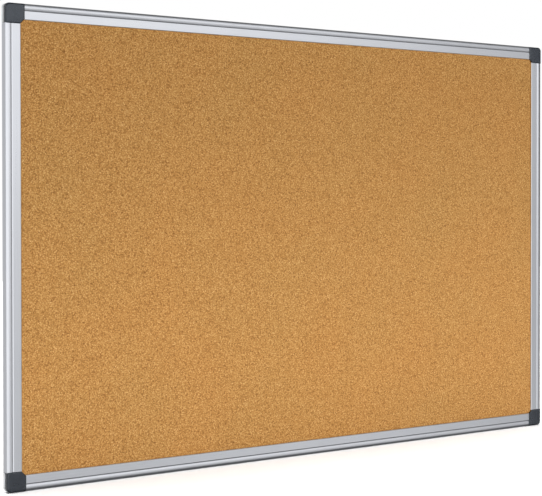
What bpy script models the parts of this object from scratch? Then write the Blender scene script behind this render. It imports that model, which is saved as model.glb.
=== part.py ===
"""Framed cork notice board, 900 x 600 mm, which hangs on four screws through its corners.

Metres, +Z up. The origin is the centre of the board's outline on the wall plane: the wall is at
y = 0, the cork faces -Y, and +X runs to the viewer's right.

Every section is drawn with three distances: "inward" from the outline towards the middle of the
board, "along" an edge from its corner, and "deep" from the wall towards the viewer.
"""

import math

import bmesh
import bpy

# Whole board
BOARD_WIDTH = 0.900
BOARD_HEIGHT = 0.600
GAP = 0.0003  # clearance between neighbouring pieces
BEYOND = 0.001  # how far a cutter runs past the face it opens

# How finely round stretches are drawn
ARC_STEPS = 6
BEAD_STEPS = 8
CAP_EDGE_STEPS = 9
HEAD_STEPS = 28
SHANK_STEPS = 16
SMOOTH_ANGLE = math.radians(30)

# Aluminium rail
RAIL_DEPTH = 0.0120
RAIL_FACE = 0.0200  # how far the front face reaches inward
RAIL_WALL = 0.0012
BEAD_MIDDLE = 0.0045  # crest of the wide round bead along the outer edge
BEAD_RADIUS = 0.0098
BEAD_EDGE_RADIUS = 0.0008  # where the bead meets the side wall
BEAD_INNER = 0.0080  # the bead ends here, at the bottom of the groove
GROOVE_INNER = 0.0092  # the groove's other side rises to here
LIP_THICKNESS = 0.0014
LIP_EDGE_RADIUS = 0.0010
FLANGE_REACH = 0.0160
FLANGE_THICKNESS = 0.0014
CHAMBER_REACH = 0.0085  # inner side of the chamber that takes the corner's arm
CHAMBER_FRONT = 0.0092

# Panel: cork, soft fibre core and backing, one behind the other
PANEL_INSET = 0.0105
CORK_THICKNESS = 0.0020
BACKING_THICKNESS = 0.0008
PANEL_CORNER_CUT = 0.0144  # legs of the corners cut off the panel

# Corner body
BLOCK_SIZE = 0.0243
BLOCK_INNER = 0.0100  # where the diagonal inner side meets the rail ends
CORNER_RADIUS = 0.0055
SKIRT_DEPTH = 0.0059  # the body is full size up to here, and steps in for the cap in front
ARM_LENGTH = 0.032
ARM_LEAD_IN = 0.0015
ARM_TAPER = 0.0010
SCREW_AXIS = 0.0110  # wall screw, inward from both edges
SCREW_HOLE_RADIUS = 0.0032
SCREW_HEAD_RADIUS = 0.0055
SCREW_SEAT = 0.0040

# Corner cap
CAP_SIZE = 0.0250
CAP_CHAMFER = 0.0060
CAP_PLATE = 0.0010
CAP_SKIRT = 0.0014
CAP_OUTER_EDGE = (0.0023, 0.0023)  # inset and drop of the round front edge over the outer walls
CAP_INNER_EDGE = (0.0022, 0.0008)  # the same on the sides over the rails and the cork
PEG_RADIUS = 0.0018
PEG_LENGTH = 0.0085
PEG_ALONG = 0.0178
PEG_INWARD = 0.0052
PEG_SLIT = 0.0006
PEG_SLIT_LENGTH = 0.0055

# Countersunk screw that holds a rail on a corner's arm
JOINT_SCREW_ALONG = 0.0340
JOINT_SCREW_RADIUS = 0.00145
JOINT_SCREW_LENGTH = 0.0080
JOINT_HEAD_RADIUS = 0.0027
JOINT_HEAD_HEIGHT = 0.00125
JOINT_HEAD_SUNK = 0.0001
DRIVE_SPAN = 0.0030
DRIVE_WIDTH = 0.0006
DRIVE_DEPTH = 0.0009

CORNERS = {"top_left": 0, "top_right": 1, "bottom_right": 2, "bottom_left": 3}  # quarter turns
CORNER_AT = {
    "top_left": (-BOARD_WIDTH / 2, BOARD_HEIGHT / 2),
    "top_right": (BOARD_WIDTH / 2, BOARD_HEIGHT / 2),
    "bottom_right": (BOARD_WIDTH / 2, -BOARD_HEIGHT / 2),
    "bottom_left": (-BOARD_WIDTH / 2, -BOARD_HEIGHT / 2),
}
# Each rail's first and last corner, clockwise from the front
RAIL_ENDS = {
    "top": ("top_left", "top_right"),
    "right": ("top_right", "bottom_right"),
    "bottom": ("bottom_right", "bottom_left"),
    "left": ("bottom_left", "top_left"),
}


# --- scene and materials -----------------------------------------------------------------------


def clear_scene():
    for old in list(bpy.data.objects):
        bpy.data.objects.remove(old, do_unlink=True)


def make_material(name, colour, roughness, metallic=0.0):
    material = bpy.data.materials.new(name)
    material.use_nodes = True
    shader = material.node_tree.nodes["Principled BSDF"]
    shader.inputs["Base Color"].default_value = (*colour, 1.0)
    shader.inputs["Roughness"].default_value = roughness
    shader.inputs["Metallic"].default_value = metallic
    material.diffuse_color = (*colour, 1.0)
    return material


# --- outlines ----------------------------------------------------------------------------------


def arc(centre, radius, start, end, steps=ARC_STEPS):
    """Points of an arc from start to end degrees, both included."""
    points = []
    for step in range(steps + 1):
        angle = math.radians(start + (end - start) * step / steps)
        points.append((centre[0] + radius * math.cos(angle), centre[1] + radius * math.sin(angle)))
    return points


def bead_arcs():
    """Bead along a rail's outer edge, from the groove's bottom to the side wall."""
    centre = (BEAD_MIDDLE, RAIL_DEPTH - BEAD_RADIUS)
    between = BEAD_RADIUS - BEAD_EDGE_RADIUS
    start = math.degrees(math.acos((BEAD_INNER - BEAD_MIDDLE) / BEAD_RADIUS))
    turn = math.acos((BEAD_EDGE_RADIUS - BEAD_MIDDLE) / between)
    edge_centre = (BEAD_EDGE_RADIUS, centre[1] + between * math.sin(turn))
    turn = math.degrees(turn)
    points = arc(centre, BEAD_RADIUS, start, turn, BEAD_STEPS)
    return points + arc(edge_centre, BEAD_EDGE_RADIUS, turn, 180)[1:]


def rail_outline():
    """Outer outline of the rail's section, as (inward, deep)."""
    slot_side = CHAMBER_REACH + RAIL_WALL
    lip_under = RAIL_DEPTH - LIP_THICKNESS
    lip_centre = (RAIL_FACE - LIP_EDGE_RADIUS, RAIL_DEPTH - LIP_EDGE_RADIUS)
    points = [(0.0, 0.0), (FLANGE_REACH, 0.0), (FLANGE_REACH, FLANGE_THICKNESS)]
    points += [(slot_side, FLANGE_THICKNESS), (slot_side, lip_under), (RAIL_FACE, lip_under)]
    points += arc(lip_centre, LIP_EDGE_RADIUS, 0, 90)
    points.append((GROOVE_INNER, RAIL_DEPTH))
    return points + bead_arcs()


def chamber_outline():
    """Hollow of the rail's section, as (inward, deep)."""
    return rectangle(RAIL_WALL, CHAMBER_REACH, FLANGE_THICKNESS, CHAMBER_FRONT)


def panel_outline():
    """The panel seen from the front, as (x, z), with its corners cut off."""
    x, z = BOARD_WIDTH / 2 - PANEL_INSET, BOARD_HEIGHT / 2 - PANEL_INSET
    cut = PANEL_CORNER_CUT
    return [
        (cut - x, -z),
        (x - cut, -z),
        (x, cut - z),
        (x, z - cut),
        (x - cut, z),
        (cut - x, z),
        (-x, z - cut),
        (-x, cut - z),
    ]


def corner_outline(far, inner, setback):
    """A square corner seen from the front, as (along one edge, along the other).

    Its outer corner is round, its inner corner is cut from inner to far, and its two outer sides
    are set back from the board's outline.
    """
    centre = (CORNER_RADIUS, CORNER_RADIUS)
    points = arc(centre, CORNER_RADIUS - setback, 180, 270)
    points += [(far, setback), (far, inner), (inner, far), (setback, far)]
    return points


def cap_outline(outer_inset, inner_inset):
    """The cap seen from the front, its outer and its inner sides moved in."""
    far = CAP_SIZE - inner_inset
    reach = CAP_SIZE - CAP_CHAMFER - inner_inset * (math.sqrt(2) - 1)
    return corner_outline(far, reach, outer_inset)


def edge_inset(inset, drop, below):
    """How far a side has moved in on an elliptical front edge, at a distance below the front."""
    share = max(1 - below / drop, 0.0)
    return inset * (1 - math.sqrt(1 - share**2))


def cap_room_outline():
    """Hollow behind the cap's plate: all but the two outer walls and the filler."""
    centre = (CORNER_RADIUS, CORNER_RADIUS)
    low, far = RAIL_FACE + GAP, CAP_SIZE + BEYOND
    points = arc(centre, CORNER_RADIUS - CAP_SKIRT, 180, 270)
    return points + [(far, CAP_SKIRT), (far, low), (low, low), (low, far), (CAP_SKIRT, far)]


def rectangle(left, right, low, high):
    return [(left, low), (right, low), (right, high), (left, high)]


def swapped(outline):
    """The same outline on the corner's other edge."""
    return [(second, first) for first, second in outline]


# --- solids ------------------------------------------------------------------------------------


def rail_point(inward, deep, along):
    """A rail runs along +X, with its inner side downward."""
    return (along, -deep, -inward)


def corner_point(along, down, deep):
    """A corner is drawn as the top left one, with its outer corner at the local origin."""
    return (along, -deep, -down)


def panel_point(x, z, deep):
    return (x, -deep, z)


def make_object(name, mesh_builder, material=None):
    """A new object from a bmesh, with outward faces."""
    bmesh.ops.recalc_face_normals(mesh_builder, faces=mesh_builder.faces)
    mesh = bpy.data.meshes.new(name)
    mesh_builder.to_mesh(mesh)
    mesh_builder.free()
    obj = bpy.data.objects.new(name, mesh)
    bpy.context.collection.objects.link(obj)
    if material:
        mesh.materials.append(material)
    return obj


def lofted(name, rings, to_point, material=None):
    """A closed solid through rings of equal length. Each ring is (outline, level)."""
    builder = bmesh.new()
    loops = []
    for outline, level in rings:
        loops.append([builder.verts.new(to_point(*point, level)) for point in outline])
    for near, far in zip(loops, loops[1:]):
        for index in range(len(near)):
            following = (index + 1) % len(near)
            builder.faces.new((near[index], near[following], far[following], far[index]))
    builder.faces.new(loops[0])
    builder.faces.new(loops[-1])
    return make_object(name, builder, material)


def prism(name, outline, low, high, to_point, material=None):
    return lofted(name, [(outline, low), (outline, high)], to_point, material)


def circle(centre, radius, steps):
    angles = [math.tau * step / steps for step in range(steps)]
    return [(centre[0] + radius * math.cos(a), centre[1] + radius * math.sin(a)) for a in angles]


def turned(name, profile, centre, steps, material=None):
    """A solid turned about a line through centre, square to the wall. Profile is (radius, deep)."""
    rings = [(circle(centre, radius, steps), deep) for radius, deep in profile]
    return lofted(name, rings, corner_point, material)


def boolean(target, helper, operation):
    """Joins helper to target, or cuts it away. The helper itself isn't part of the board."""
    modifier = target.modifiers.new(helper.name, "BOOLEAN")
    modifier.operation = operation
    modifier.object = helper
    modifier.solver = "EXACT"
    helper.hide_render = True
    helper.display_type = "WIRE"
    helper.parent = target.parent


def smooth(obj):
    obj.data.shade_smooth()
    obj.data.set_sharp_from_angle(angle=SMOOTH_ANGLE)


# --- panel -------------------------------------------------------------------------------------


def make_panel(cork, fibre, backing):
    back = FLANGE_THICKNESS + GAP
    front = RAIL_DEPTH - LIP_THICKNESS - GAP
    core_back = back + BACKING_THICKNESS + GAP
    core_front = front - CORK_THICKNESS - GAP
    outline = panel_outline()
    prism("backing_sheet", outline, back, back + BACKING_THICKNESS, panel_point, backing)
    prism("core_board", outline, core_back, core_front, panel_point, fibre)
    prism("cork_sheet", outline, front - CORK_THICKNESS, front, panel_point, cork)


# --- rails -------------------------------------------------------------------------------------


def countersink(name, along):
    """Cutter for the screw hole in a rail's rear flange."""
    below = 0.0001
    head = JOINT_HEAD_RADIUS + GAP + below
    shank = JOINT_SCREW_RADIUS + GAP
    profile = [(head, -below), (shank, head - shank - below), (shank, 2 * FLANGE_THICKNESS)]
    return turned(name, profile, (along, arm_middle()), HEAD_STEPS)


def make_rail(side, edge_length, aluminium):
    """One rail, with a screw hole near each end."""
    near, far = BLOCK_SIZE + GAP, edge_length - BLOCK_SIZE - GAP
    rail = prism("rail_" + side, rail_outline(), near, far, rail_point, aluminium)
    hollow = prism(side + "_chamber", chamber_outline(), near - BEYOND, far + BEYOND, rail_point)
    place_at_corner(rail, RAIL_ENDS[side][0])
    boolean(rail, hollow, "DIFFERENCE")
    for end, along in (("near", JOINT_SCREW_ALONG), ("far", edge_length - JOINT_SCREW_ALONG)):
        boolean(rail, countersink(side + "_hole_" + end, along), "DIFFERENCE")
    smooth(rail)


# --- corners -----------------------------------------------------------------------------------


def arm_middle():
    return (RAIL_WALL + CHAMBER_REACH) / 2


def place_at_corner(obj, corner):
    obj.parent = bpy.data.objects[corner + "_corner"]


def make_corner_frame(corner, quarter_turns):
    """An empty at the board's corner, turned so that its +X runs along the edge."""
    frame = bpy.data.objects.new(corner + "_corner", None)
    x, z = CORNER_AT[corner]
    frame.location = (x, 0.0, z)
    frame.rotation_euler = (0.0, quarter_turns * math.pi / 2, 0.0)
    bpy.context.collection.objects.link(frame)


def arm_outline():
    """Arm that slides into a rail's chamber, with a tapered end."""
    root, tip = BLOCK_SIZE - ARM_LEAD_IN, BLOCK_SIZE + ARM_LENGTH
    low, high = RAIL_WALL + GAP, CHAMBER_REACH - GAP
    points = [(root, low), (tip - ARM_LEAD_IN, low), (tip, low + ARM_TAPER)]
    points += [(tip, high - ARM_TAPER), (tip - ARM_LEAD_IN, high), (root, high)]
    return points


def make_corner_body(corner, plastic):
    name = "corner_body_" + corner
    rear = corner_outline(BLOCK_SIZE, BLOCK_INNER, 0.0)
    body = prism(name, rear, 0.0, SKIRT_DEPTH, corner_point, plastic)
    place_at_corner(body, corner)
    front = corner_outline(BLOCK_SIZE, BLOCK_INNER, CAP_SKIRT + GAP)
    overlap = SKIRT_DEPTH / 2
    boolean(body, prism(name + "_front", front, overlap, RAIL_DEPTH, corner_point), "UNION")
    arm_back, arm_front = FLANGE_THICKNESS + GAP, CHAMBER_FRONT - GAP
    arm = arm_outline()
    for label, outline in (("arm_along", arm), ("arm_down", swapped(arm))):
        helper = prism(name + "_" + label, outline, arm_back, arm_front, corner_point)
        boolean(body, helper, "UNION")
    cut_wall_screw_hole(body)
    cut_peg_sockets(body)
    cut_pilot_holes(body)
    smooth(body)


def cut_wall_screw_hole(body):
    """Through hole with a recess for the screw's head, open at the front under the cap."""
    profile = [
        (SCREW_HOLE_RADIUS, -BEYOND),
        (SCREW_HOLE_RADIUS, SCREW_SEAT),
        (SCREW_HEAD_RADIUS, SCREW_SEAT),
        (SCREW_HEAD_RADIUS, RAIL_DEPTH + BEYOND),
    ]
    centre = (SCREW_AXIS, SCREW_AXIS)
    boolean(body, turned(body.name + "_screw_hole", profile, centre, HEAD_STEPS), "DIFFERENCE")


def cut_peg_sockets(body):
    """Blind sockets for the cap's pegs, which hang from a plate one gap in front of the body."""
    radius = PEG_RADIUS + GAP
    floor = RAIL_DEPTH - PEG_LENGTH
    profile = [(radius, floor), (radius, RAIL_DEPTH + BEYOND)]
    for label, centre in peg_centres():
        helper = turned(body.name + "_socket_" + label, profile, centre, SHANK_STEPS)
        boolean(body, helper, "DIFFERENCE")


def peg_centres():
    along = (PEG_ALONG, PEG_INWARD)
    return (("along", along), ("down", along[::-1]))


def cut_pilot_holes(body):
    """Blind holes in the arms for the screws that come through the rails' flanges."""
    radius = JOINT_SCREW_RADIUS + GAP
    profile = [(radius, 0.0), (radius, JOINT_SCREW_LENGTH + GAP)]
    for label, centre in joint_screw_centres():
        helper = turned(body.name + "_pilot_" + label, profile, centre, SHANK_STEPS)
        boolean(body, helper, "DIFFERENCE")


def joint_screw_centres():
    along = (JOINT_SCREW_ALONG, arm_middle())
    return (("along", along), ("down", along[::-1]))


def make_corner_cap(corner, plastic):
    """Push-on cap: a plate, two outer walls, a filler over the cork's corner and two split pegs."""
    front = RAIL_DEPTH + GAP + CAP_PLATE
    rings = [(cap_outline(0.0, 0.0), SKIRT_DEPTH + GAP)]
    for step in range(CAP_EDGE_STEPS + 1):
        below = CAP_OUTER_EDGE[1] * (1 - math.sin(math.pi / 2 * step / CAP_EDGE_STEPS))
        insets = [edge_inset(*edge, below) for edge in (CAP_OUTER_EDGE, CAP_INNER_EDGE)]
        rings.append((cap_outline(*insets), front - below))
    cap = lofted("corner_cap_" + corner, rings, corner_point, plastic)
    place_at_corner(cap, corner)
    hollow_cap(cap)
    add_pegs(cap)
    smooth(cap)


def hollow_cap(cap):
    """Clears what is behind the plate, the filler and the free ends of the two walls."""
    behind = SKIRT_DEPTH - BEYOND
    plate_back = RAIL_DEPTH + GAP
    beyond_cap = CAP_SIZE + 2 * BEYOND
    room = prism(cap.name + "_room", cap_room_outline(), behind, plate_back, corner_point)
    boolean(cap, room, "DIFFERENCE")
    low = RAIL_FACE + GAP - BEYOND
    outline = rectangle(low, beyond_cap, low, beyond_cap)
    filler_back = RAIL_DEPTH - LIP_THICKNESS
    under = prism(cap.name + "_under_filler", outline, behind, filler_back, corner_point)
    boolean(cap, under, "DIFFERENCE")
    wall_end = rectangle(BLOCK_SIZE, beyond_cap, -BEYOND, 2 * CAP_SKIRT)
    for label, outline in (("end_along", wall_end), ("end_down", swapped(wall_end))):
        helper = prism(cap.name + "_" + label, outline, behind, plate_back, corner_point)
        boolean(cap, helper, "DIFFERENCE")


def add_pegs(cap):
    plate_back = RAIL_DEPTH + GAP
    tip = plate_back - PEG_LENGTH
    inside = plate_back + CAP_PLATE / 4
    lead_in = PEG_RADIUS / 4
    profile = [(PEG_RADIUS - lead_in, tip), (PEG_RADIUS, tip + lead_in), (PEG_RADIUS, inside)]
    slit_half = PEG_SLIT / 2
    for label, (along, down) in peg_centres():
        peg = turned(cap.name + "_peg_" + label, profile, (along, down), SHANK_STEPS)
        boolean(cap, peg, "UNION")
        reach = PEG_RADIUS + BEYOND
        slit = rectangle(along - reach, along + reach, down - slit_half, down + slit_half)
        low, high = tip - BEYOND, tip + PEG_SLIT_LENGTH
        helper = prism(cap.name + "_slit_" + label, slit, low, high, corner_point)
        boolean(cap, helper, "DIFFERENCE")


# --- joint screws ------------------------------------------------------------------------------


def make_joint_screw(name, corner, centre, steel):
    """Countersunk self-tapping screw with a cross recess, head at the back."""
    back = JOINT_HEAD_SUNK
    point_length = JOINT_SCREW_RADIUS
    profile = [
        (JOINT_HEAD_RADIUS, back),
        (JOINT_SCREW_RADIUS, back + JOINT_HEAD_HEIGHT),
        (JOINT_SCREW_RADIUS, JOINT_SCREW_LENGTH - point_length),
        (JOINT_SCREW_RADIUS / 4, JOINT_SCREW_LENGTH),
    ]
    screw = turned(name, profile, centre, SHANK_STEPS, steel)
    place_at_corner(screw, corner)
    long_half, short_half = DRIVE_SPAN / 2, DRIVE_WIDTH / 2
    for label, wide, tall in (("slot", long_half, short_half), ("cross", short_half, long_half)):
        along, down = centre
        outline = rectangle(along - wide, along + wide, down - tall, down + tall)
        helper = prism(name + "_" + label, outline, -back, back + DRIVE_DEPTH, corner_point)
        boolean(screw, helper, "DIFFERENCE")
    smooth(screw)


def make_joint_screws(steel):
    """Two at each corner: one in the rail that starts there, one in the rail that ends there."""
    along, down = (centre for _, centre in joint_screw_centres())
    for side, (first, last) in RAIL_ENDS.items():
        make_joint_screw("rail_screw_" + side + "_start", first, along, steel)
        make_joint_screw("rail_screw_" + side + "_end", last, down, steel)


# --- the board ---------------------------------------------------------------------------------


def main():
    clear_scene()
    cork = make_material("cork", (0.52, 0.27, 0.09), 0.9)
    fibre = make_material("soft_fibreboard", (0.42, 0.33, 0.22), 0.95)
    backing = make_material("hardboard", (0.24, 0.14, 0.07), 0.7)
    aluminium = make_material("anodised_aluminium", (0.72, 0.73, 0.75), 0.35, 1.0)
    light_plastic = make_material("light_grey_plastic", (0.55, 0.56, 0.57), 0.5)
    dark_plastic = make_material("dark_grey_plastic", (0.07, 0.075, 0.085), 0.45)
    steel = make_material("zinc_plated_steel", (0.6, 0.6, 0.58), 0.3, 1.0)

    make_panel(cork, fibre, backing)
    for corner, quarter_turns in CORNERS.items():
        make_corner_frame(corner, quarter_turns)
        make_corner_body(corner, light_plastic)
        make_corner_cap(corner, dark_plastic)
    for side in RAIL_ENDS:
        edge_length = BOARD_WIDTH if side in ("top", "bottom") else BOARD_HEIGHT
        make_rail(side, edge_length, aluminium)
    make_joint_screws(steel)


main()
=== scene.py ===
"""Looks of the framed cork notice board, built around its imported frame.

Metres, +Z up, in the frame's own coordinates: the wall plane is y = 0 and the cork faces -Y.
Sections are drawn with three distances: "inward" from the board's outline, "along" an edge from
its corner, and "deep" from the wall plane towards the viewer.
"""

import math

import bmesh
import bpy
from mathutils import Euler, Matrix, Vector, noise


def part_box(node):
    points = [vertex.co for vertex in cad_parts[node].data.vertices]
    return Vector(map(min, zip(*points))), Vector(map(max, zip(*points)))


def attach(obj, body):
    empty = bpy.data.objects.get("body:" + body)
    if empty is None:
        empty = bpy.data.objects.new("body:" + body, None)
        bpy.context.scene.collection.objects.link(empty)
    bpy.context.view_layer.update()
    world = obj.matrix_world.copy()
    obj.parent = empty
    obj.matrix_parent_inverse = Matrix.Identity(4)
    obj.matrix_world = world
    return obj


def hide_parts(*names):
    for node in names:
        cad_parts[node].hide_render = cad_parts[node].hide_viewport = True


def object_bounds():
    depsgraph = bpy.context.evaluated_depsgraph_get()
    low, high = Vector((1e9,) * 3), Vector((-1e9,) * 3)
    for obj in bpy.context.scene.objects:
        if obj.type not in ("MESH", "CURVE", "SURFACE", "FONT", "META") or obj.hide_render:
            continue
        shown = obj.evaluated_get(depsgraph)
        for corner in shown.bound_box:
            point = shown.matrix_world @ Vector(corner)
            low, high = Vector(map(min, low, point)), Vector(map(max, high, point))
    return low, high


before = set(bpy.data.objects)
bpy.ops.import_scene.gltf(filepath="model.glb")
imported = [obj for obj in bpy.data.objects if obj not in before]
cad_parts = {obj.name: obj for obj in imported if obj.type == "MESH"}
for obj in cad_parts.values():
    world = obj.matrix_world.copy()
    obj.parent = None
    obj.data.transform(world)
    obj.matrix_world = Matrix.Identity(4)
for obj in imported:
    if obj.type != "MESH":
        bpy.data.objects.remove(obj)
cad_low, cad_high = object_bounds()

# Places that come from the frame
RAIL_LOW, RAIL_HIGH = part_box("rail_top")
BOARD_WIDTH = cad_high.x - cad_low.x
BOARD_HEIGHT = cad_high.z - cad_low.z
RAIL_DEPTH = -RAIL_LOW.y
RAIL_FACE = RAIL_HIGH.z - RAIL_LOW.z
RAIL_START = RAIL_LOW.x - cad_low.x  # along the edge, from the board's corner
CAP_LOW, CAP_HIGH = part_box("corner_cap_top_left")
CAP_SIZE = CAP_HIGH.x - CAP_LOW.x
CAP_FRONT = -CAP_LOW.y
CORK_LOW, CORK_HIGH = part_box("cork_sheet")

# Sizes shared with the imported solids
GAP = 0.0003
BEYOND = 0.001
RAIL_WALL = 0.0012
BEAD_MIDDLE = 0.0045
BEAD_RADIUS = 0.0098
BEAD_EDGE_RADIUS = 0.0008
BEAD_INNER = 0.0080
GROOVE_INNER = 0.0092
LIP_THICKNESS = 0.0014
FLANGE_REACH = 0.0160
FLANGE_THICKNESS = 0.0014
CHAMBER_REACH = 0.0085
CHAMBER_FRONT = 0.0092
PANEL_CORNER_CUT = 0.0144
BLOCK_SIZE = RAIL_START - GAP
BLOCK_INNER = 0.0100
CORNER_RADIUS = 0.0055
SKIRT_DEPTH = 0.0059
ARM_LENGTH = 0.032
SCREW_AXIS = 0.0110
SCREW_HOLE_RADIUS = 0.0032
SCREW_HEAD_RADIUS = 0.0055
SCREW_SEAT = 0.0040
CAP_CHAMFER = 0.0060
CAP_SKIRT = 0.0014
CAP_OUTER_EDGE = (0.0023, 0.0023)
CAP_INNER_EDGE = (0.0022, 0.0008)
PEG_RADIUS = 0.0018
PEG_LENGTH = 0.0085
PEG_AT = (0.0178, 0.0052)
PEG_SLIT = 0.0006
PEG_SLIT_LENGTH = 0.0055
ARM_MIDDLE = (RAIL_WALL + CHAMBER_REACH) / 2
JOINT_SCREW_AT = (0.0340, ARM_MIDDLE)
JOINT_SCREW_RADIUS = 0.00145
JOINT_SCREW_LENGTH = 0.0080
JOINT_HEAD_RADIUS = 0.0027
JOINT_HEAD_SUNK = 0.0001

# Each corner's place and quarter turns, clockwise from the front, and each rail's two corners
CORNERS = {
    "top_left": (cad_low.x, cad_high.z, 0),
    "top_right": (cad_high.x, cad_high.z, 1),
    "bottom_right": (cad_high.x, cad_low.z, 2),
    "bottom_left": (cad_low.x, cad_low.z, 3),
}
RAIL_ENDS = {
    "top": ("top_left", "top_right"),
    "right": ("top_right", "bottom_right"),
    "bottom": ("bottom_right", "bottom_left"),
    "left": ("bottom_left", "top_left"),
}


# --- node trees --------------------------------------------------------------------------------


def feed(tree, socket, value):
    """Links a socket to an input, or sets the input's own value."""
    if isinstance(value, bpy.types.NodeSocket):
        tree.links.new(value, socket)
    elif socket.type == "RGBA" and len(value) == 3:
        socket.default_value = (*value, 1.0)
    else:
        socket.default_value = value


def add_node(tree, kind, inputs=None, **settings):
    node = tree.nodes.new("ShaderNode" + kind)
    for name, value in settings.items():
        setattr(node, name, value)
    for name, value in (inputs or {}).items():
        feed(tree, node.inputs[name], value)
    return node


def maths(tree, operation, first, second=0.0):
    return add_node(tree, "Math", {0: first, 1: second}, operation=operation).outputs[0]


def vector_maths(tree, operation, first, second):
    return add_node(tree, "VectorMath", {0: first, 1: second}, operation=operation)


def mapped(tree, value, low, high, to_low, to_high, interpolation="LINEAR"):
    """A value mapped from one range to another, clamped."""
    inputs = {0: value, 1: low, 2: high, 3: to_low, 4: to_high}
    return add_node(tree, "MapRange", inputs, interpolation_type=interpolation).outputs[0]


def ramp(tree, value, stops):
    """A colour ramp with stops of (position, colour)."""
    node = add_node(tree, "ValToRGB", {0: value})
    elements = node.color_ramp.elements
    while len(elements) < len(stops):
        elements.new(0.5)
    for element, (position, colour) in zip(elements, stops):
        element.position = position
        element.color = (*colour, 1.0)
    return node.outputs["Color"]


def mixed(tree, factor, first, second, blend="MIX"):
    """Two colours mixed."""
    node = add_node(tree, "Mix", data_type="RGBA", blend_type=blend)
    colours = [socket for socket in node.inputs if socket.type == "RGBA"]
    for socket, value in zip((node.inputs[0], *colours), (factor, first, second)):
        feed(tree, socket, value)
    return next(socket for socket in node.outputs if socket.type == "RGBA")


def grey(tree, value):
    return add_node(tree, "CombineColor", {0: value, 1: value, 2: value}).outputs[0]


def place(tree, scale=(1.0, 1.0, 1.0)):
    """Object coordinates, in metres, multiplied by a scale for each axis."""
    coordinates = add_node(tree, "TexCoord").outputs["Object"]
    return vector_maths(tree, "MULTIPLY", coordinates, scale).outputs[0]


def noise_value(tree, vector, scale, detail=3.0, roughness=0.5):
    inputs = {"Vector": vector, "Scale": scale, "Detail": detail, "Roughness": roughness}
    return add_node(tree, "TexNoise", inputs).outputs["Fac"]


def cells(tree, vector, scale, feature="F1"):
    return add_node(tree, "TexVoronoi", {"Vector": vector, "Scale": scale}, feature=feature)


def cell_value(tree, texture):
    """A random number for each cell of a Voronoi texture."""
    return add_node(tree, "SeparateColor", {0: texture.outputs["Color"]}).outputs[0]


def new_material(name, colour, roughness, metallic=0.0, specular=0.5):
    """A Principled material, its node tree and its shader."""
    material = bpy.data.materials.new(name)
    material.use_nodes = True
    material.diffuse_color = (*colour, 1.0)
    shader = material.node_tree.nodes["Principled BSDF"]
    feed(material.node_tree, shader.inputs["Base Color"], colour)
    shader.inputs["Roughness"].default_value = roughness
    shader.inputs["Metallic"].default_value = metallic
    shader.inputs["Specular IOR Level"].default_value = specular
    return material, material.node_tree, shader


def add_bump(tree, shader, height, distance, strength=1.0):
    inputs = {"Height": height, "Distance": distance, "Strength": strength}
    tree.links.new(add_node(tree, "Bump", inputs).outputs[0], shader.inputs["Normal"])


# --- camera, floor and light -------------------------------------------------------------------


# Left of the board and a little above its middle, looking almost level, turned to the right
CAMERA_SPOT = (-1.0636, -1.5363, 0.0589)
CAMERA_TURN = (89.294, 0.061, -33.268)  # degrees
CAMERA_LENS = 87.76  # mm
CAMERA_SHIFT = -0.059


def make_camera():
    camera = bpy.data.objects.new("camera", bpy.data.cameras.new("camera"))
    camera.location = CAMERA_SPOT
    camera.rotation_euler = [math.radians(turn) for turn in CAMERA_TURN]
    camera.data.lens = CAMERA_LENS
    camera.data.shift_y = CAMERA_SHIFT
    bpy.context.scene.collection.objects.link(camera)
    bpy.context.scene.camera = camera


# Soft panels of light round the board, the last one overhead. Each has an azimuth, half-width
# and fade, an elevation, half-height and fade, all in degrees, and a strength. Azimuth 0 is
# straight in front of the board, and it grows towards the right as the board is seen.
PANELS = (
    (-18, 26, 12, 3, 19, 9, 0.74),
    (0, 50, 10, 0, 18, 10, 0.30),
    (27, 11, 6, 13, 10, 6, 0.70),
    (36, 4, 6, -14, 6, 5, 0.50),
    (-75, 9, 8, 5, 20, 10, 1.05),
    (-170, 45, 25, 0, 30, 20, 0.46),
    (0, 180, 1, 90, 22, 12, 0.35),
)
SURROUNDINGS = 0.08


def angle_window(tree, angle, middle, half, fade):
    """1 within half degrees of the middle, falling to 0 over the next fade degrees."""
    apart = maths(tree, "ABSOLUTE", maths(tree, "SUBTRACT", angle, middle))
    apart = maths(tree, "MINIMUM", apart, maths(tree, "SUBTRACT", 360.0, apart))
    return mapped(tree, apart, half, half + fade, 1.0, 0.0, "SMOOTHSTEP")


def make_world():
    """White where the camera sees it. Elsewhere it is a dim room with soft panels of light."""
    world = bpy.data.worlds.new("studio")
    bpy.context.scene.world = world
    world.use_nodes = True
    tree = world.node_tree
    tree.nodes.clear()
    towards = add_node(tree, "TexCoord").outputs["Generated"]
    x, y, z = add_node(tree, "SeparateXYZ", {0: towards}).outputs
    forward = maths(tree, "MULTIPLY", y, -1.0)
    azimuth = maths(tree, "DEGREES", maths(tree, "ARCTAN2", x, forward))
    elevation = maths(tree, "DEGREES", maths(tree, "ARCSINE", z))
    level = SURROUNDINGS
    for *angles, power in PANELS:
        across = angle_window(tree, azimuth, *angles[:3])
        upright = angle_window(tree, elevation, *angles[3:])
        panel = maths(tree, "MULTIPLY", maths(tree, "MULTIPLY", across, upright), power)
        level = maths(tree, "ADD", level, panel)
    seen = add_node(tree, "LightPath").outputs["Is Camera Ray"]
    strength = add_node(tree, "Mix", {0: seen, 2: level, 3: 1.0}).outputs[0]
    light = add_node(tree, "Background", {"Color": (1.0, 1.0, 1.0), "Strength": strength})
    output = add_node(tree, "OutputWorld")
    tree.links.new(light.outputs[0], output.inputs[0])


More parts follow.
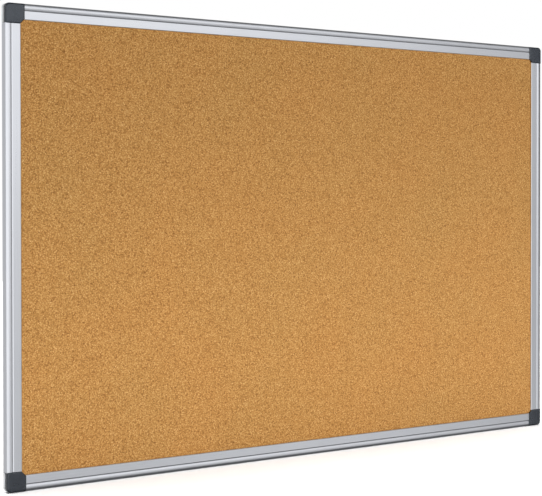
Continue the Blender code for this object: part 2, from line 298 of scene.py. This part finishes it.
def make_floor():
    """Pale, faintly mottled, just below the board and left out of its reflections."""
    half = 4.0
    below = 0.0005
    darker, lighter = (0.88, 0.88, 0.88), (0.92, 0.92, 0.92)
    material, tree, shader = new_material("pale_floor", (0.9, 0.9, 0.9), 0.9, specular=0.1)
    cloud = noise_value(tree, place(tree), 3.0)
    feed(tree, shader.inputs["Base Color"], ramp(tree, cloud, [(0.3, darker), (0.7, lighter)]))
    builder = bmesh.new()
    bmesh.ops.create_grid(builder, x_segments=1, y_segments=1, size=half)
    floor = make_object("floor", builder, material)
    floor.location.z = cad_low.z - below
    floor.visible_glossy = False
    return floor


def make_lamp(name, kind, energy, spot, target):
    lamp = bpy.data.objects.new(name, bpy.data.lights.new(name, kind))
    lamp.data.energy = energy
    lamp.location = spot
    lamp.rotation_euler = (Vector(target) - Vector(spot)).to_track_quat("-Z", "Y").to_euler()
    lamp.visible_glossy = False
    lamp.visible_camera = False
    bpy.context.scene.collection.objects.link(lamp)
    return lamp


def make_softbox(name, energy, width, height, spot, target):
    lamp = make_lamp(name, "AREA", energy, spot, target)
    lamp.data.shape = "RECTANGLE"
    lamp.data.size, lamp.data.size_y = width, height
    return lamp


def light_only(lamp, obj):
    """Lets the lamp reach one object alone."""
    chosen = bpy.data.collections.new(obj.name + "_only")
    chosen.objects.link(obj)
    lamp.light_linking.receiver_collection = chosen


# Energy in watts, width and height, place, and the point that the softbox is turned to
SOFTBOXES = {
    "front": (7.2, 1.2, 1.2, (0.5, -2.4, 0.5), (0, 0, 0)),
    "low_right": (2.0, 0.8, 0.5, (1.2, -1.1, -0.1), (0.3, 0, -0.1)),
    "low": (1.95, 1.4, 0.15, (0, -0.42, -0.2), (0, 0, -0.24)),
    "behind": (12.0, 1.5, 1.5, (0.4, 2.4, 0.6), (0, 0, 0)),
}
OVERHEAD_STRENGTH = 4.3
OVERHEAD_SPREAD = 60  # degrees


def make_lights(cork):
    """A sun makes the floor as white as the background, and the low softbox lights the cork."""
    make_world()
    overhead = make_lamp("overhead", "SUN", OVERHEAD_STRENGTH, (0, 0, 3), (0, 0, 0))
    overhead.data.angle = math.radians(OVERHEAD_SPREAD)
    light_only(overhead, make_floor())
    softboxes = {name: make_softbox(name, *row) for name, row in SOFTBOXES.items()}
    light_only(softboxes["low"], cork)


# --- materials ---------------------------------------------------------------------------------


# The cork's patterns, in cells or grains to the metre, and how much its tone takes from three
CORK_CELLS = 900.0
CORK_FINE_CELLS = 1400.0
CORK_GRANULES = 480.0
CORK_BARK = 620.0
CORK_GRAIN = 2600.0
CORK_SHARES = (0.32, 0.24, 0.22)  # of cells, fine cells and grain
CORK_STOPS = (
    (0.08, (0.15, 0.056, 0.009)),
    (0.34, (0.315, 0.145, 0.036)),
    (0.54, (0.425, 0.212, 0.061)),
    (0.76, (0.55, 0.31, 0.106)),
    (1.00, (0.67, 0.43, 0.19)),
)
BARK_COLOUR = (0.16, 0.064, 0.02)


def uneven_place(tree, spot):
    """Coordinates shifted by up to 1 mm, so that the cork's cells have crooked sides."""
    noise_inputs = {"Vector": spot, "Scale": 700.0, "Detail": 2.0}
    drift = add_node(tree, "TexNoise", noise_inputs).outputs["Color"]
    shift = vector_maths(tree, "MULTIPLY", drift, (0.001, 0.001, 0.001)).outputs[0]
    return vector_maths(tree, "ADD", spot, shift).outputs[0]


def cork_tone(tree, bent, grain):
    """How light each spot is: lighter in the middle of a granule, and different in each cell."""
    coarse = cell_value(tree, cells(tree, bent, CORK_CELLS))
    fine = cell_value(tree, cells(tree, bent, CORK_FINE_CELLS))
    from_middle = cells(tree, bent, CORK_GRANULES).outputs["Distance"]
    tone = mapped(tree, from_middle, 0.15, 0.75, 0.345, -0.035)
    for value, share in zip((coarse, fine, grain), CORK_SHARES):
        tone = maths(tree, "ADD", tone, maths(tree, "MULTIPLY", value, share))
    return tone


def cork_material():
    """Pressed cork: light and dark granules, thin dark seams and a few flecks of bark."""
    material, tree, shader = new_material("cork", (0.53, 0.27, 0.082), 0.9, specular=0.25)
    spot = place(tree)
    bent = uneven_place(tree, spot)
    grain = noise_value(tree, spot, CORK_GRAIN, 4.0)
    tone = cork_tone(tree, bent, grain)
    to_edge = cells(tree, bent, CORK_CELLS, "DISTANCE_TO_EDGE").outputs[0]
    seam = mapped(tree, to_edge, 0.0, 0.14, 0.75, 1.0)
    colour = mixed(tree, 1.0, ramp(tree, tone, CORK_STOPS), grey(tree, seam), "MULTIPLY")
    bark = cell_value(tree, cells(tree, bent, CORK_BARK))
    bark_share = mapped(tree, bark, 0.97, 0.985, 0.0, 0.3)
    colour = mixed(tree, bark_share, colour, BARK_COLOUR)
    cloud = noise_value(tree, spot, 7.0)
    tint = ramp(tree, cloud, [(0.3, (1.0, 0.975, 0.94)), (0.7, (0.97, 1.0, 1.0))])
    feed(tree, shader.inputs["Base Color"], mixed(tree, 1.0, colour, tint, "MULTIPLY"))
    feed(tree, shader.inputs["Roughness"], mapped(tree, grain, 0.3, 0.7, 0.82, 0.97))
    add_bump(tree, shader, maths(tree, "ADD", seam, tone), 0.0002, 0.8)
    return material


def aluminium_material(name, along):
    """Satin anodised aluminium with faint extrusion lines along one axis."""
    material, tree, shader = new_material(name, (0.84, 0.86, 0.91), 0.3, metallic=1.0)
    stretch = tuple(1.0 if axis == along else 260.0 for axis in range(3))
    lines = noise_value(tree, place(tree, stretch), 12.0, 5.0, 0.6)
    cloud = noise_value(tree, place(tree), 18.0)
    colour = ramp(tree, lines, [(0.3, (0.81, 0.83, 0.88)), (0.7, (0.87, 0.89, 0.94))])
    feed(tree, shader.inputs["Base Color"], colour)
    rough_lines = mapped(tree, lines, 0.3, 0.7, 0.24, 0.32)
    rough = maths(tree, "ADD", rough_lines, maths(tree, "MULTIPLY", cloud, 0.06))
    feed(tree, shader.inputs["Roughness"], rough)
    add_bump(tree, shader, lines, 0.00001, 0.5)
    return material


def plastic_material(name, colour, roughness, specular=0.5, sheen=(1.0, 1.0, 1.0)):
    """Moulded plastic with a fine spark-eroded grain and slightly uneven colour."""
    material, tree, shader = new_material(name, colour, roughness, specular=specular)
    feed(tree, shader.inputs["Specular Tint"], sheen)
    grain = noise_value(tree, place(tree), 3200.0, 2.0)
    cloud = noise_value(tree, place(tree), 90.0, 4.0)
    darker, lighter = (tuple(share * part for part in colour) for share in (0.9, 1.1))
    feed(tree, shader.inputs["Base Color"], ramp(tree, cloud, [(0.3, darker), (0.7, lighter)]))
    rough = mapped(tree, cloud, 0.3, 0.7, roughness - 0.05, roughness + 0.05)
    feed(tree, shader.inputs["Roughness"], rough)
    add_bump(tree, shader, grain, 0.00003, 0.6)
    return material


def steel_material():
    """Zinc-plated steel, a little blotchy."""
    material, tree, shader = new_material("zinc_steel", (0.66, 0.66, 0.63), 0.3, metallic=1.0)
    blotch = noise_value(tree, place(tree), 900.0, 4.0)
    colour = ramp(tree, blotch, [(0.35, (0.55, 0.55, 0.50)), (0.65, (0.74, 0.74, 0.72))])
    feed(tree, shader.inputs["Base Color"], colour)
    feed(tree, shader.inputs["Roughness"], mapped(tree, blotch, 0.3, 0.7, 0.22, 0.42))
    add_bump(tree, shader, blotch, 0.00002, 0.4)
    return material


def fibre_material(name, dark, light, scale, stretch):
    """Board made of matted fibres."""
    middle = tuple((one + other) / 2 for one, other in zip(dark, light))
    material, tree, shader = new_material(name, middle, 0.9, specular=0.2)
    fibres = noise_value(tree, place(tree, stretch), scale, 6.0, 0.7)
    cloud = noise_value(tree, place(tree), 9.0, 4.0)
    shade = ramp(tree, cloud, [(0.3, (0.93, 0.93, 0.93)), (0.7, (1.0, 1.0, 1.0))])
    colour = mixed(tree, 1.0, ramp(tree, fibres, [(0.3, dark), (0.7, light)]), shade, "MULTIPLY")
    feed(tree, shader.inputs["Base Color"], colour)
    feed(tree, shader.inputs["Roughness"], mapped(tree, fibres, 0.3, 0.7, 0.82, 0.95))
    add_bump(tree, shader, fibres, 0.00008, 0.6)
    return material


# --- outlines ----------------------------------------------------------------------------------


def arc(centre, radius, start, end, steps):
    """Points of an arc from start to end radians, both included."""
    angles = [start + (end - start) * step / steps for step in range(steps + 1)]
    return [(centre[0] + radius * math.cos(a), centre[1] + radius * math.sin(a)) for a in angles]


def filleted(corners, steps=0):
    """An outline from corners of (first, second, radius), each rounded by an arc."""
    outline = []
    for index, (first, second, radius) in enumerate(corners):
        here = Vector((first, second))
        if not radius:
            outline.append(tuple(here))
            continue
        before = (Vector(corners[index - 1][:2]) - here).normalized()
        after = (Vector(corners[(index + 1) % len(corners)][:2]) - here).normalized()
        half = before.angle(after) / 2
        centre = here + (before + after).normalized() * radius / math.sin(half)
        start = here + before * radius / math.tan(half) - centre
        end = here + after * radius / math.tan(half) - centre
        begin = math.atan2(start.y, start.x)
        sweep = (math.atan2(end.y, end.x) - begin + math.pi) % math.tau - math.pi
        parts = steps or 3 + int(radius / 0.0003)
        outline += arc(centre, radius, begin, begin + sweep, parts)
    return outline


def bead_arcs():
    """Bead along a rail's outer edge, from the groove's bottom to the side wall."""
    centre = (BEAD_MIDDLE, RAIL_DEPTH - BEAD_RADIUS)
    between = BEAD_RADIUS - BEAD_EDGE_RADIUS
    start = math.acos((BEAD_INNER - BEAD_MIDDLE) / BEAD_RADIUS)
    turn = math.acos((BEAD_EDGE_RADIUS - BEAD_MIDDLE) / between)
    edge_centre = (BEAD_EDGE_RADIUS, centre[1] + between * math.sin(turn))
    points = arc(centre, BEAD_RADIUS, start, turn, 24)
    return points + arc(edge_centre, BEAD_EDGE_RADIUS, turn, math.pi, 10)[1:]


def rail_outline():
    """Outer outline of the rail's section, as (inward, deep), with every edge broken."""
    slot_side = CHAMBER_REACH + RAIL_WALL
    lip_under = RAIL_DEPTH - LIP_THICKNESS
    bead = bead_arcs()
    edges = filleted(
        [
            (0.0, 0.0, 0.0003),
            (FLANGE_REACH, 0.0, 0.0003),
            (FLANGE_REACH, FLANGE_THICKNESS, 0.0003),
            (slot_side, FLANGE_THICKNESS, 0.0003),
            (slot_side, lip_under, 0.0003),
            (RAIL_FACE, lip_under, 0.0003),
            (RAIL_FACE, RAIL_DEPTH, 0.0010),
            (GROOVE_INNER, RAIL_DEPTH, 0.0004),
            (*bead[0], 0),
            (0.0, RAIL_DEPTH, 0),
        ]
    )
    return edges[:-2] + bead


def chamber_outline():
    low, high, back, front = RAIL_WALL, CHAMBER_REACH, FLANGE_THICKNESS, CHAMBER_FRONT
    corners = ((low, back), (high, back), (high, front), (low, front))
    return filleted([(*corner, 0.0004) for corner in corners])


def corner_outline(far, inner, setback, edge, steps=0):
    """A square corner from the front, its outer corner round and its inner corner cut off."""
    return filleted(
        [
            (setback, setback, CORNER_RADIUS - setback),
            (far, setback, edge),
            (far, inner, edge),
            (inner, far, edge),
            (setback, far, edge),
        ],
        steps,
    )


def cap_outline(outer_inset, inner_inset, scale=1.0):
    """The cap from the front, its outer and inner sides moved in, then scaled about its middle."""
    far = CAP_SIZE - inner_inset
    reach = CAP_SIZE - CAP_CHAMFER - inner_inset * (math.sqrt(2) - 1)
    middle = CAP_SIZE / 2
    outline = corner_outline(far, reach, outer_inset, 0.0006, 10)
    return [tuple(middle + scale * (part - middle) for part in point) for point in outline]


def edge_inset(inset, drop, below):
    """How far a side has moved in on an elliptical front edge, at a distance below the front."""
    share = max(1 - below / drop, 0.0)
    return inset * (1 - math.sqrt(1 - share**2))


def cap_room_outline():
    """Hollow behind the cap's plate: all but the two outer walls and the filler."""
    low, far = RAIL_FACE + GAP, CAP_SIZE + BEYOND
    wall = CAP_SKIRT
    return filleted(
        [
            (wall, wall, CORNER_RADIUS - wall),
            (far, wall, 0),
            (far, low, 0),
            (low, low, 0.0004),
            (low, far, 0),
            (wall, far, 0),
        ]
    )


def arm_outline():
    root, tip = BLOCK_SIZE - 0.0015, BLOCK_SIZE + ARM_LENGTH
    low, high = RAIL_WALL + GAP, CHAMBER_REACH - GAP
    return filleted([(root, low, 0), (tip, low, 0.0012), (tip, high, 0.0012), (root, high, 0)])


def rectangle(left, right, low, high):
    return [(left, low), (right, low), (right, high), (left, high)]


def both_ways(spot):
    """A place on a corner and its mirror image across the corner's diagonal."""
    return (spot, spot[::-1])


def both_ways_outlines(outline):
    """An outline on a corner and its mirror image across the corner's diagonal."""
    return (outline, [point[::-1] for point in outline])


# --- solids ------------------------------------------------------------------------------------


def rail_point(inward, deep, along):
    """A rail runs along +X from its corner, with its inner side downward."""
    return (along, -deep, -inward)


def corner_point(along, down, deep):
    """A corner is drawn as the top left one, with its outer corner at the local origin."""
    return (along, -deep, -down)


def make_object(name, builder, material=None):
    bmesh.ops.recalc_face_normals(builder, faces=builder.faces)
    mesh = bpy.data.meshes.new(name)
    builder.to_mesh(mesh)
    builder.free()
    if material:
        mesh.materials.append(material)
    obj = bpy.data.objects.new(name, mesh)
    bpy.context.scene.collection.objects.link(obj)
    return obj


def lofted(name, rings, to_point, material=None):
    """A closed solid through rings of equal length. Each ring is (outline, level)."""
    builder = bmesh.new()
    loops = []
    for outline, level in rings:
        loops.append([builder.verts.new(to_point(*point, level)) for point in outline])
    for near, far in zip(loops, loops[1:]):
        for index in range(len(near)):
            following = (index + 1) % len(near)
            builder.faces.new((near[index], near[following], far[following], far[index]))
    builder.faces.new(loops[0])
    builder.faces.new(loops[-1])
    return make_object(name, builder, material)


def prism(name, outline, low, high, to_point, material=None):
    return lofted(name, [(outline, low), (outline, high)], to_point, material)


def circle(centre, radius, steps):
    angles = [math.tau * step / steps for step in range(steps)]
    return [(centre[0] + radius * math.cos(a), centre[1] + radius * math.sin(a)) for a in angles]


def turned(name, profile, centre, steps=48, material=None):
    """A solid turned about a line square to the wall. Profile is (radius, deep)."""
    rings = [(circle(centre, radius, steps), deep) for radius, deep in profile]
    return lofted(name, rings, corner_point, material)


def settle(obj):
    """Applies the object's modifiers to its mesh."""
    graph = bpy.context.evaluated_depsgraph_get()
    mesh = bpy.data.meshes.new_from_object(obj.evaluated_get(graph))
    obj.modifiers.clear()
    obj.data = mesh


def boolean(target, helper, operation):
    """Joins helper to target or cuts it away, and removes the helper."""
    modifier = target.modifiers.new(helper.name, "BOOLEAN")
    modifier.operation = operation
    modifier.object = helper
    modifier.solver = "EXACT"
    settle(target)
    bpy.data.objects.remove(helper, do_unlink=True)


def break_edges(obj, width):
    """Rounds every sharp edge a little, as moulding does."""
    bevel = obj.modifiers.new("edges", "BEVEL")
    bevel.width = width
    bevel.segments = 2
    bevel.limit_method = "ANGLE"
    bevel.angle_limit = math.radians(40)
    settle(obj)


def smooth(obj, degrees=32):
    """Smooth shading that leaves flat faces flat and edges steeper than the angle sharp."""
    obj.data.shade_smooth()
    obj.data.set_sharp_from_angle(angle=math.radians(degrees))
    normals = obj.modifiers.new("normals", "WEIGHTED_NORMAL")
    normals.keep_sharp = True
    settle(obj)


def place_at_corner(obj, corner):
    """Moves a mesh drawn at the top left corner to its own corner."""
    x, z, quarter_turns = CORNERS[corner]
    turn = Euler((0.0, quarter_turns * math.pi / 2, 0.0)).to_matrix().to_4x4()
    turn.translation = (x, 0.0, z)
    obj.data.transform(turn)


def stand_in(obj, node, body):
    """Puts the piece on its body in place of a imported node."""
    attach(obj, body)
    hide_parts(node)


# --- panel -------------------------------------------------------------------------------------


def add_cork_face(builder, width, height):
    """A grid that rises and falls a little, as pressed granules do."""
    spacing = 0.0026
    bumps = 1.7 * spacing
    relief = 0.00003
    columns, rows = round(width / spacing), round(height / spacing)
    grid = []
    for row in range(rows + 1):
        z = CORK_LOW.z + height * row / rows
        line = []
        for column in range(columns + 1):
            x = CORK_LOW.x + width * column / columns
            rough = noise.noise(Vector((x, 0.0, z)) / bumps)
            line.append(builder.verts.new((x, CORK_LOW.y + relief * (1 + rough), z)))
        grid.append(line)
    for low, high in zip(grid, grid[1:]):
        for column in range(columns):
            builder.faces.new((low[column], low[column + 1], high[column + 1], high[column]))


def make_cork(material):
    """The cork sheet, its face slightly uneven, with its corners cut off under the caps."""
    width, height = CORK_HIGH.x - CORK_LOW.x, CORK_HIGH.z - CORK_LOW.z
    builder = bmesh.new()
    add_cork_face(builder, width, height)
    close_back(builder)
    cut_corners(builder, width, height)
    cork = make_object("cork_face", builder, material)
    smooth(cork, 50)
    stand_in(cork, "cork_sheet", "board")
    return cork


def close_back(builder):
    """Draws the sheet's rim back to its rear face and closes that face."""
    rim = [edge for edge in builder.edges if edge.is_boundary]
    extruded = bmesh.ops.extrude_edge_only(builder, edges=rim)["geom"]
    for item in extruded:
        if isinstance(item, bmesh.types.BMVert):
            item.co.y = CORK_HIGH.y
    back = [item for item in extruded if isinstance(item, bmesh.types.BMEdge)]
    bmesh.ops.contextual_create(builder, geom=back)


def cut_corners(builder, width, height):
    for side_x in (-1, 1):
        for side_z in (-1, 1):
            start = Vector((side_x * (width / 2 - PANEL_CORNER_CUT), 0.0, side_z * height / 2))
            cut = bmesh.ops.bisect_plane(
                builder,
                geom=[*builder.verts, *builder.edges, *builder.faces],
                plane_co=start,
                plane_no=(side_x, 0, side_z),
                clear_outer=True,
            )
            rim = [item for item in cut["geom_cut"] if isinstance(item, bmesh.types.BMEdge)]
            bmesh.ops.contextual_create(builder, geom=rim)


# --- rails -------------------------------------------------------------------------------------


def countersink(along):
    below = JOINT_HEAD_SUNK
    head, shank = JOINT_HEAD_RADIUS + GAP + below, JOINT_SCREW_RADIUS + GAP
    profile = [(head, -below), (shank, head - shank - below), (shank, 2 * FLANGE_THICKNESS)]
    return turned("countersink", profile, (along, ARM_MIDDLE))


def make_rail(side, material):
    edge_length = BOARD_WIDTH if side in ("top", "bottom") else BOARD_HEIGHT
    near, far = RAIL_START, edge_length - RAIL_START
    rail = prism(side + "_extrusion", rail_outline(), near, far, rail_point, material)
    chamber = prism("chamber", chamber_outline(), near - BEYOND, far + BEYOND, rail_point)
    boolean(rail, chamber, "DIFFERENCE")
    for along in (JOINT_SCREW_AT[0], edge_length - JOINT_SCREW_AT[0]):
        boolean(rail, countersink(along), "DIFFERENCE")
    smooth(rail)
    place_at_corner(rail, RAIL_ENDS[side][0])
    stand_in(rail, "rail_" + side, "board")


# --- corner bodies -----------------------------------------------------------------------------


def bore(body, centre):
    """The wall screw's hole and, in front of it, the recess for its head."""
    hole = [
        (SCREW_HOLE_RADIUS, -BEYOND),
        (SCREW_HOLE_RADIUS, SCREW_SEAT),
        (SCREW_HEAD_RADIUS, SCREW_SEAT),
        (SCREW_HEAD_RADIUS, RAIL_DEPTH + BEYOND),
    ]
    boolean(body, turned("wall_screw_hole", hole, centre), "DIFFERENCE")


def drill(body, name, radius, low, high, centre):
    boolean(body, turned(name, [(radius, low), (radius, high)], centre, 32), "DIFFERENCE")


def make_corner_body(corner, material):
    rear = corner_outline(BLOCK_SIZE, BLOCK_INNER, 0.0, 0.0004)
    body = prism(corner + "_body", rear, 0.0, SKIRT_DEPTH, corner_point, material)
    front = corner_outline(BLOCK_SIZE, BLOCK_INNER, CAP_SKIRT + GAP, 0.0004)
    boolean(body, prism("front", front, SKIRT_DEPTH / 2, RAIL_DEPTH, corner_point), "UNION")
    arm_back, arm_front = FLANGE_THICKNESS + GAP, CHAMBER_FRONT - GAP
    for outline in both_ways_outlines(arm_outline()):
        boolean(body, prism("arm", outline, arm_back, arm_front, corner_point), "UNION")
    bore(body, (SCREW_AXIS, SCREW_AXIS))
    socket, front_end = RAIL_DEPTH - PEG_LENGTH, RAIL_DEPTH + BEYOND
    for centre in both_ways(PEG_AT):
        drill(body, "socket", PEG_RADIUS + GAP, socket, front_end, centre)
    for centre in both_ways(JOINT_SCREW_AT):
        drill(body, "pilot", JOINT_SCREW_RADIUS + GAP, 0.0, JOINT_SCREW_LENGTH + GAP, centre)
    break_edges(body, 0.00015)
    smooth(body)
    place_at_corner(body, corner)
    stand_in(body, "corner_body_" + corner, "board")


# --- corner caps -------------------------------------------------------------------------------


def make_cap_block(name, material):
    """Solid block with a round front edge and a face that rises slightly to its middle."""
    crown = 0.0002
    steps = 18
    rim = CAP_FRONT - crown
    rings = [(cap_outline(0.0, 0.0), SKIRT_DEPTH + GAP)]
    for step in range(steps + 1):
        below = CAP_OUTER_EDGE[1] * (1 - math.sin(math.pi / 2 * step / steps))
        insets = [edge_inset(*edge, below) for edge in (CAP_OUTER_EDGE, CAP_INNER_EDGE)]
        rings.append((cap_outline(*insets), rim - below))
    for scale in (0.85, 0.7, 0.5, 0.3, 0.1):
        outline = cap_outline(CAP_OUTER_EDGE[0], CAP_INNER_EDGE[0], scale)
        rings.append((outline, rim + crown * (1 - scale * scale)))
    return lofted(name, rings, corner_point, material)


def hollow_cap(cap):
    """Clears what is behind the plate, the filler and the free ends of the two walls."""
    behind = SKIRT_DEPTH - BEYOND
    plate_back = RAIL_DEPTH + GAP
    beyond_cap = CAP_SIZE + 2 * BEYOND
    boolean(cap, prism("room", cap_room_outline(), behind, plate_back, corner_point), "DIFFERENCE")
    low = RAIL_FACE + GAP - BEYOND
    under = rectangle(low, beyond_cap, low, beyond_cap)
    filler_back = RAIL_DEPTH - LIP_THICKNESS
    boolean(cap, prism("under_filler", under, behind, filler_back, corner_point), "DIFFERENCE")
    for outline in both_ways_outlines(rectangle(BLOCK_SIZE, beyond_cap, -BEYOND, 2 * CAP_SKIRT)):
        boolean(cap, prism("wall_end", outline, behind, plate_back, corner_point), "DIFFERENCE")


def add_split_peg(cap, centre):
    plate_back = RAIL_DEPTH + GAP
    tip = plate_back - PEG_LENGTH
    lead_in = PEG_RADIUS / 4
    peg = [
        (PEG_RADIUS - lead_in, tip),
        (PEG_RADIUS, tip + lead_in),
        (PEG_RADIUS, plate_back + lead_in),
    ]
    boolean(cap, turned("peg", peg, centre, 32), "UNION")
    along, down = centre
    reach = PEG_RADIUS + BEYOND
    half_slit = PEG_SLIT / 2
    slit = rectangle(along - reach, along + reach, down - half_slit, down + half_slit)
    slit_end = tip + PEG_SLIT_LENGTH
    boolean(cap, prism("slit", slit, tip - BEYOND, slit_end, corner_point), "DIFFERENCE")


def make_corner_cap(corner, material):
    cap = make_cap_block(corner + "_cap", material)
    hollow_cap(cap)
    for centre in both_ways(PEG_AT):
        add_split_peg(cap, centre)
    smooth(cap)
    place_at_corner(cap, corner)
    stand_in(cap, "corner_cap_" + corner, "cap_" + corner)


# --- the board ---------------------------------------------------------------------------------


def set_material(node, material):
    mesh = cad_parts[node].data
    mesh.materials.clear()
    mesh.materials.append(material)


def main():
    bpy.context.scene.view_settings.view_transform = "Standard"
    make_camera()
    make_lights(make_cork(cork_material()))
    fibreboard = ((0.30, 0.22, 0.14), (0.48, 0.38, 0.26), 400.0, (1, 1, 1))
    kraft = ((0.36, 0.26, 0.16), (0.48, 0.37, 0.24), 60.0, (1, 1, 6))
    set_material("core_board", fibre_material("fibreboard", *fibreboard))
    set_material("backing_sheet", fibre_material("kraft", *kraft))
    upright = aluminium_material("anodised_upright", 2)
    level = aluminium_material("anodised_level", 0)
    for side in RAIL_ENDS:
        make_rail(side, level if side in ("top", "bottom") else upright)
    light_plastic = plastic_material("light_grey_plastic", (0.62, 0.63, 0.65), 0.5)
    dark_grey, bluish = (0.015, 0.018, 0.026), (0.86, 0.93, 1.0)
    dark_plastic = plastic_material("dark_grey_plastic", dark_grey, 0.26, 1.0, bluish)
    for corner in CORNERS:
        make_corner_body(corner, light_plastic)
        make_corner_cap(corner, dark_plastic)
    steel = steel_material()
    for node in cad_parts:
        if node.startswith("rail_screw_"):
            set_material(node, steel)


main()
